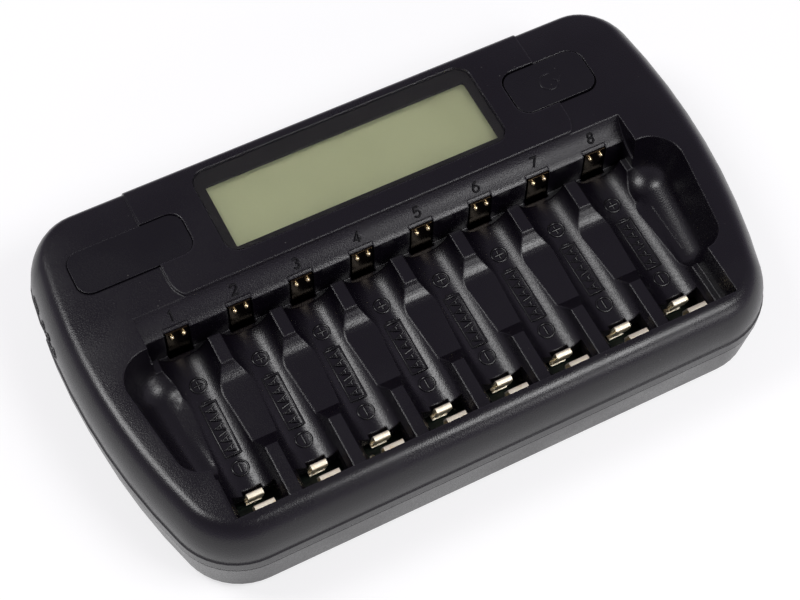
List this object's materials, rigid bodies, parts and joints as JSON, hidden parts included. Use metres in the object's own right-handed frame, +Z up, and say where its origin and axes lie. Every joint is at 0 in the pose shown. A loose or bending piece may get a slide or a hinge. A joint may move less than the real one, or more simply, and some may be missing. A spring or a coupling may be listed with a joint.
{
  "type": "battery charger",
  "caption": "Flat desk charger with a row of bays for AA or AAA cells between spring contacts, finger scoops, a wide display and a push button.",
  "frame": {"origin": "on the table under the middle of the case", "axes": "+X along the row of bays towards the button, +Y towards the display, +Z up"},
  "size_m": [0.1844, 0.108, 0.0312],
  "materials": {
    "case_plastic": "black moulded plastic, fine grain",
    "base_plastic": "black moulded plastic, fine grain",
    "lens": "clear acrylic window",
    "lcd": "grey green liquid crystal panel",
    "holder_plastic": "white plastic frame",
    "strip_rubber": "striped conductive rubber",
    "board": "green solder resist",
    "screw_steel": "zinc plated",
    "button_plastic": "black moulded plastic",
    "badge_plastic": "black satin plastic",
    "switch_plastic": "black plastic",
    "plunger_plastic": "pale plastic",
    "inlet_plastic": "black plastic",
    "chip_plastic": "black epoxy",
    "capacitor_can": "sleeved can",
    "choke_ferrite": "ferrite and enamelled wire",
    "foot_rubber": "soft black rubber",
    "contact_brass": "gold plated spring brass"
  },
  "bodies": {
    "case": {"top_case": "case_plastic", "bottom_case": "base_plastic", "display_lens": "lens", "display_glass": "lcd", "display_holder": "holder_plastic", "display_strips": "strip_rubber", "display_board": "board", "display_screws": "screw_steel", "badge_plate": "badge_plastic", "switch_body": "switch_plastic", "main_board": "board", "board_screws": "screw_steel", "case_screws": "screw_steel", "dc_inlet": "inlet_plastic", "board_link": "inlet_plastic", "control_chip": "chip_plastic", "charge_transistors": "chip_plastic", "smoothing_capacitors": "capacitor_can", "choke_coil": "choke_ferrite", "foot_1": "foot_rubber", "foot_2": "foot_rubber", "foot_3": "foot_rubber", "foot_4": "foot_rubber", "plus_contact_1": "contact_brass", "plus_contact_2": "contact_brass", "plus_contact_3": "contact_brass", "plus_contact_4": "contact_brass", "plus_contact_5": "contact_brass", "plus_contact_6": "contact_brass", "plus_contact_7": "contact_brass", "plus_contact_8": "contact_brass"},
    "mode_button": {"mode_button": "button_plastic", "switch_plunger": "plunger_plastic"},
    "aa_leaf_1": {"aa_contact_1": "contact_brass"},
    "aa_leaf_2": {"aa_contact_2": "contact_brass"},
    "aa_leaf_3": {"aa_contact_3": "contact_brass"},
    "aa_leaf_4": {"aa_contact_4": "contact_brass"},
    "aa_leaf_5": {"aa_contact_5": "contact_brass"},
    "aa_leaf_6": {"aa_contact_6": "contact_brass"},
    "aa_leaf_7": {"aa_contact_7": "contact_brass"},
    "aa_leaf_8": {"aa_contact_8": "contact_brass"},
    "aaa_leaf_1": {"aaa_contact_1": "contact_brass"},
    "aaa_leaf_2": {"aaa_contact_2": "contact_brass"},
    "aaa_leaf_3": {"aaa_contact_3": "contact_brass"},
    "aaa_leaf_4": {"aaa_contact_4": "contact_brass"},
    "aaa_leaf_5": {"aaa_contact_5": "contact_brass"},
    "aaa_leaf_6": {"aaa_contact_6": "contact_brass"},
    "aaa_leaf_7": {"aaa_contact_7": "contact_brass"},
    "aaa_leaf_8": {"aaa_contact_8": "contact_brass"}
  },
  "joints": [
    {"name": "mode_button_press", "type": "slide", "parent": "case", "child": "mode_button", "axis": [0, 0, -1], "range_m": [0, 0.0006], "stiffness_N_per_m": 800, "springref_m": -0.0003},
    {"name": "aa_leaf_1_bend", "type": "hinge", "parent": "case", "child": "aa_leaf_1", "pos_m": [-0.0616, -0.043, 0.0093], "axis": [1, 0, 0], "range_deg": [0, 6.5], "stiffness_Nm_per_rad": 0.2},
    {"name": "aa_leaf_2_bend", "type": "hinge", "parent": "case", "child": "aa_leaf_2", "pos_m": [-0.044, -0.043, 0.0093], "axis": [1, 0, 0], "range_deg": [0, 6.5], "stiffness_Nm_per_rad": 0.2},
    {"name": "aa_leaf_3_bend", "type": "hinge", "parent": "case", "child": "aa_leaf_3", "pos_m": [-0.0264, -0.043, 0.0093], "axis": [1, 0, 0], "range_deg": [0, 6.5], "stiffness_Nm_per_rad": 0.2},
    {"name": "aa_leaf_4_bend", "type": "hinge", "parent": "case", "child": "aa_leaf_4", "pos_m": [-0.0088, -0.043, 0.0093], "axis": [1, 0, 0], "range_deg": [0, 6.5], "stiffness_Nm_per_rad": 0.2},
    {"name": "aa_leaf_5_bend", "type": "hinge", "parent": "case", "child": "aa_leaf_5", "pos_m": [0.0088, -0.043, 0.0093], "axis": [1, 0, 0], "range_deg": [0, 6.5], "stiffness_Nm_per_rad": 0.2},
    {"name": "aa_leaf_6_bend", "type": "hinge", "parent": "case", "child": "aa_leaf_6", "pos_m": [0.0264, -0.043, 0.0093], "axis": [1, 0, 0], "range_deg": [0, 6.5], "stiffness_Nm_per_rad": 0.2},
    {"name": "aa_leaf_7_bend", "type": "hinge", "parent": "case", "child": "aa_leaf_7", "pos_m": [0.044, -0.043, 0.0093], "axis": [1, 0, 0], "range_deg": [0, 6.5], "stiffness_Nm_per_rad": 0.2},
    {"name": "aa_leaf_8_bend", "type": "hinge", "parent": "case", "child": "aa_leaf_8", "pos_m": [0.0616, -0.043, 0.0093], "axis": [1, 0, 0], "range_deg": [0, 6.5], "stiffness_Nm_per_rad": 0.2},
    {"name": "aaa_leaf_1_bend", "type": "hinge", "parent": "case", "child": "aaa_leaf_1", "pos_m": [-0.0616, -0.0342, 0.0093], "axis": [1, 0, 0], "range_deg": [0, 36], "stiffness_Nm_per_rad": 0.03},
    {"name": "aaa_leaf_2_bend", "type": "hinge", "parent": "case", "child": "aaa_leaf_2", "pos_m": [-0.044, -0.0342, 0.0093], "axis": [1, 0, 0], "range_deg": [0, 36], "stiffness_Nm_per_rad": 0.03},
    {"name": "aaa_leaf_3_bend", "type": "hinge", "parent": "case", "child": "aaa_leaf_3", "pos_m": [-0.0264, -0.0342, 0.0093], "axis": [1, 0, 0], "range_deg": [0, 36], "stiffness_Nm_per_rad": 0.03},
    {"name": "aaa_leaf_4_bend", "type": "hinge", "parent": "case", "child": "aaa_leaf_4", "pos_m": [-0.0088, -0.0342, 0.0093], "axis": [1, 0, 0], "range_deg": [0, 36], "stiffness_Nm_per_rad": 0.03},
    {"name": "aaa_leaf_5_bend", "type": "hinge", "parent": "case", "child": "aaa_leaf_5", "pos_m": [0.0088, -0.0342, 0.0093], "axis": [1, 0, 0], "range_deg": [0, 36], "stiffness_Nm_per_rad": 0.03},
    {"name": "aaa_leaf_6_bend", "type": "hinge", "parent": "case", "child": "aaa_leaf_6", "pos_m": [0.0264, -0.0342, 0.0093], "axis": [1, 0, 0], "range_deg": [0, 36], "stiffness_Nm_per_rad": 0.03},
    {"name": "aaa_leaf_7_bend", "type": "hinge", "parent": "case", "child": "aaa_leaf_7", "pos_m": [0.044, -0.0342, 0.0093], "axis": [1, 0, 0], "range_deg": [0, 36], "stiffness_Nm_per_rad": 0.03},
    {"name": "aaa_leaf_8_bend", "type": "hinge", "parent": "case", "child": "aaa_leaf_8", "pos_m": [0.0616, -0.0342, 0.0093], "axis": [1, 0, 0], "range_deg": [0, 36], "stiffness_Nm_per_rad": 0.03}
  ]
}
